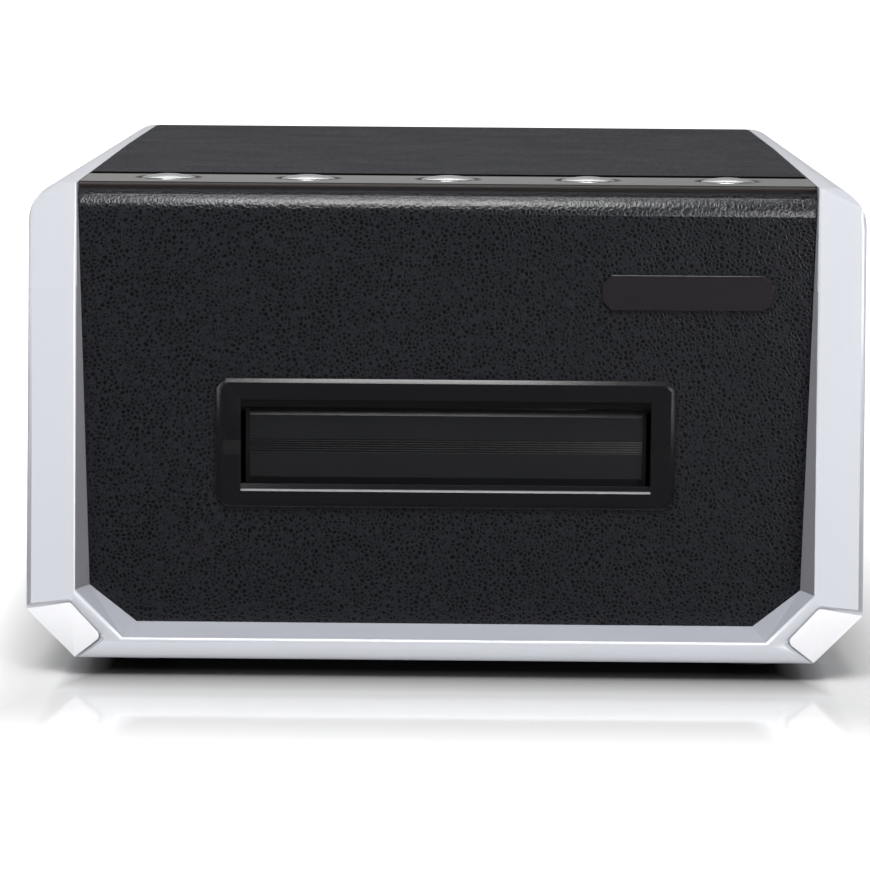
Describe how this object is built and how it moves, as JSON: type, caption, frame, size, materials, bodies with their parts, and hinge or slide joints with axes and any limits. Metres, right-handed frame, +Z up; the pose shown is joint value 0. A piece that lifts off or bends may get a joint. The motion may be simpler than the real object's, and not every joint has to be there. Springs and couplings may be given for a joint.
{
  "type": "film negative scanner",
  "caption": "Desktop film scanner: silver U-shaped housing with a leaning front lip, black leather-look covers, round top buttons and a wide film slot behind a hinged door.",
  "frame": {"origin": "on the surface that the scanner stands on, at the middle of its width and depth", "axes": "+Z up, +X to the right as the front is seen, the front with the film slot faces -Y"},
  "size_m": [0.175, 0.259, 0.104],
  "materials": {
    "silver": "satin silver paint on a moulding",
    "pad": "smooth, light grey",
    "leather": "black, fine pebble grain",
    "strip": "polished, near black",
    "button": "metallised, satin",
    "bezel": "fine matt, black",
    "label": "polished, dark",
    "rear": "fine matt, black",
    "rubber": "matt, black",
    "steel": "zinc plated sheet",
    "shaft": "ground bright",
    "blued": "blackened, satin",
    "brass": "plain turned",
    "nylon": "moulded, ivory",
    "board": "green solder mask",
    "motor": "satin black",
    "black": "matt, black",
    "white": "matt, white",
    "glass": "coated, clear",
    "mirror": "front surface"
  },
  "bodies": {
    "scanner": {"housing": "silver", "corner_pad_left": "pad", "corner_pad_right": "pad", "front_cover": "leather", "control_strip": "strip", "top_cover": "leather", "slot_bezel": "bezel", "slot_door_pin": "blued", "slot_door_spring": "blued", "label_plate": "label", "rear_panel": "rear", "rear_door_pin": "blued", "rear_door_spring": "blued", "power_inlet": "black", "data_socket": "steel", "switch_housing": "black", "foot_front_left": "rubber", "foot_front_right": "rubber", "foot_rear_left": "rubber", "foot_rear_right": "rubber", "base_plate": "steel", "side_plate_left": "steel", "side_plate_right": "steel", "lower_guide": "black", "upper_guide": "black", "shaft_bushes": "brass", "motor": "motor", "belt": "rubber", "lamp_housing": "white", "lamp_board": "board", "diffuser": "white", "mirror": "mirror", "mirror_bracket": "steel", "lens_barrel": "black", "lens_glass": "glass", "lens_mount": "motor", "sensor_board": "board", "main_board": "board", "button_board": "board", "base_screws": "shaft", "board_screws": "shaft"},
    "front_door": {"slot_door": "bezel"},
    "rear_flap": {"rear_door": "rear"},
    "button_one": {"button_1": "button"},
    "button_two": {"button_2": "button"},
    "button_three": {"button_3": "button"},
    "button_four": {"button_4": "button"},
    "button_five": {"button_5": "button"},
    "rocker": {"switch_rocker": "black"},
    "front_drive": {"front_shaft": "shaft", "front_tyres": "rubber", "drive_gear": "nylon", "front_pulley": "nylon"},
    "rear_drive": {"rear_shaft": "shaft", "rear_tyres": "rubber", "rear_pulley": "nylon"},
    "motor_rotor": {"motor_pinion": "brass"},
    "front_pinch": {"front_pinch_roller": "nylon"},
    "rear_pinch": {"rear_pinch_roller": "nylon"}
  },
  "joints": [
    {"name": "front_door_hinge", "type": "hinge", "parent": "scanner", "child": "front_door", "pos_m": [0, -0.1151, 0.05555], "axis": [1, 0, 0], "range_deg": [0, 90], "stiffness_Nm_per_rad": 0.002, "springref_deg": -20.05},
    {"name": "rear_flap_hinge", "type": "hinge", "parent": "scanner", "child": "rear_flap", "pos_m": [0, 0.1273, 0.05555], "axis": [1, 0, 0], "range_deg": [0, 90], "stiffness_Nm_per_rad": 0.002, "springref_deg": -20.05},
    {"name": "button_one_press", "type": "slide", "parent": "scanner", "child": "button_one", "axis": [0, 0, -1], "range_m": [0, 0.0008], "stiffness_N_per_m": 800, "springref_m": -0.0005},
    {"name": "button_two_press", "type": "slide", "parent": "scanner", "child": "button_two", "axis": [0, 0, -1], "range_m": [0, 0.0008], "stiffness_N_per_m": 800, "springref_m": -0.0005},
    {"name": "button_three_press", "type": "slide", "parent": "scanner", "child": "button_three", "axis": [0, 0, -1], "range_m": [0, 0.0008], "stiffness_N_per_m": 800, "springref_m": -0.0005},
    {"name": "button_four_press", "type": "slide", "parent": "scanner", "child": "button_four", "axis": [0, 0, -1], "range_m": [0, 0.0008], "stiffness_N_per_m": 800, "springref_m": -0.0005},
    {"name": "button_five_press", "type": "slide", "parent": "scanner", "child": "button_five", "axis": [0, 0, -1], "range_m": [0, 0.0008], "stiffness_N_per_m": 800, "springref_m": -0.0005},
    {"name": "rocker_tilt", "type": "hinge", "parent": "scanner", "child": "rocker", "pos_m": [0.046, 0.126, 0.0811], "axis": [0, 0, 1], "range_deg": [0, 16]},
    {"name": "front_drive_spin", "type": "hinge", "parent": "scanner", "child": "front_drive", "pos_m": [0, -0.06, 0.0386], "axis": [1, 0, 0], "continuous": true},
    {"name": "rear_drive_spin", "type": "hinge", "parent": "scanner", "child": "rear_drive", "pos_m": [0, 0.06, 0.0386], "axis": [1, 0, 0], "continuous": true},
    {"name": "motor_spin", "type": "hinge", "parent": "scanner", "child": "motor_rotor", "pos_m": [0, -0.0372, 0.0251], "axis": [1, 0, 0], "continuous": true},
    {"name": "front_pinch_spin", "type": "hinge", "parent": "scanner", "child": "front_pinch", "pos_m": [0, -0.06, 0.0575], "axis": [1, 0, 0], "continuous": true},
    {"name": "rear_pinch_spin", "type": "hinge", "parent": "scanner", "child": "rear_pinch", "pos_m": [0, 0.06, 0.0575], "axis": [1, 0, 0], "continuous": true}
  ],
  "couplings": [
    {"joint": "rear_drive_spin", "follows": "front_drive_spin", "ratio": 1},
    {"joint": "motor_spin", "follows": "front_drive_spin", "ratio": -4.5}
  ]
}
